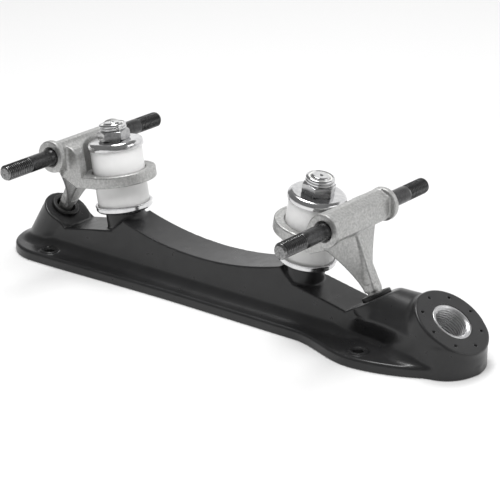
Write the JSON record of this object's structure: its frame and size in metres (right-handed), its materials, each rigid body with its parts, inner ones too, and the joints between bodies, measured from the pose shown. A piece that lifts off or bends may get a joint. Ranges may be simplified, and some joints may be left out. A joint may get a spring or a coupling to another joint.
{
  "type": "roller skate plate",
  "caption": "Moulded skate plate with a saddle-backed spine, two sprung steering trucks on kingpins with cushions, bare threaded axles and a sloping threaded toe stop boss.",
  "frame": {"origin": "on the boot face, midway between the two axles", "axes": "+X towards the toe, +Z away from the boot, +Y to the left of the toe"},
  "size_m": [0.2829, 0.1156, 0.0772],
  "materials": {
    "moulded_nylon": "satin moulded",
    "cast_aluminium": "tumbled casting",
    "bright_aluminium": "machined",
    "bright_zinc": "bright zinc",
    "black_oxide_steel": "black oxide",
    "white_urethane": "smooth cast",
    "black_rubber": "satin",
    "locking_nylon": "satin"
  },
  "bodies": {
    "base": {"plate": "moulded_nylon", "toe_stop_insert": "bright_aluminium", "front_kingpin": "bright_zinc", "front_pivot_cup": "black_rubber", "front_lower_retainer": "bright_zinc", "front_lower_cushion": "white_urethane", "front_upper_cushion": "white_urethane", "rear_kingpin": "bright_zinc", "rear_pivot_cup": "black_rubber", "rear_lower_retainer": "bright_zinc", "rear_lower_cushion": "white_urethane", "rear_upper_cushion": "white_urethane"},
    "front_truck": {"front_hanger": "cast_aluminium", "front_axle": "black_oxide_steel"},
    "front_adjuster": {"front_upper_retainer": "bright_zinc"},
    "front_nut": {"front_lock_nut": "bright_zinc", "front_nut_ring": "locking_nylon"},
    "rear_truck": {"rear_hanger": "cast_aluminium", "rear_axle": "black_oxide_steel"},
    "rear_adjuster": {"rear_upper_retainer": "bright_zinc"},
    "rear_nut": {"rear_lock_nut": "bright_zinc", "rear_nut_ring": "locking_nylon"}
  },
  "joints": [
    {"name": "front_truck_steer", "type": "hinge", "parent": "base", "child": "front_truck", "pos_m": [0.10178, 0, 0.01911], "axis": [-0.8054, 0, 0.5927], "range_deg": [-10, 10], "stiffness_Nm_per_rad": 10, "deforming": ["front_lower_cushion", "front_upper_cushion"]},
    {"name": "front_preload_slide", "type": "slide", "parent": "base", "child": "front_adjuster", "axis": [0.1736, 0, 0.9848], "range_m": [-0.00053, 0.00106], "deforming": ["front_upper_cushion"]},
    {"name": "front_nut_turn", "type": "hinge", "parent": "front_adjuster", "child": "front_nut", "pos_m": [0.06379, 0, 0.06765], "axis": [0.1736, 0, 0.9848], "range_deg": [-180, 360]},
    {"name": "rear_truck_steer", "type": "hinge", "parent": "base", "child": "rear_truck", "pos_m": [-0.10178, 0, 0.01911], "axis": [0.8054, 0, 0.5927], "range_deg": [-10, 10], "stiffness_Nm_per_rad": 10, "deforming": ["rear_lower_cushion", "rear_upper_cushion"]},
    {"name": "rear_preload_slide", "type": "slide", "parent": "base", "child": "rear_adjuster", "axis": [-0.1736, 0, 0.9848], "range_m": [-0.00053, 0.00106], "deforming": ["rear_upper_cushion"]},
    {"name": "rear_nut_turn", "type": "hinge", "parent": "rear_adjuster", "child": "rear_nut", "pos_m": [-0.06379, 0, 0.06765], "axis": [-0.1736, 0, 0.9848], "range_deg": [-180, 360]}
  ],
  "couplings": [
    {"joint": "front_nut_turn", "follows": "front_preload_slide", "rad_per_m": 5936.9},
    {"joint": "rear_nut_turn", "follows": "rear_preload_slide", "rad_per_m": 5936.9}
  ]
}
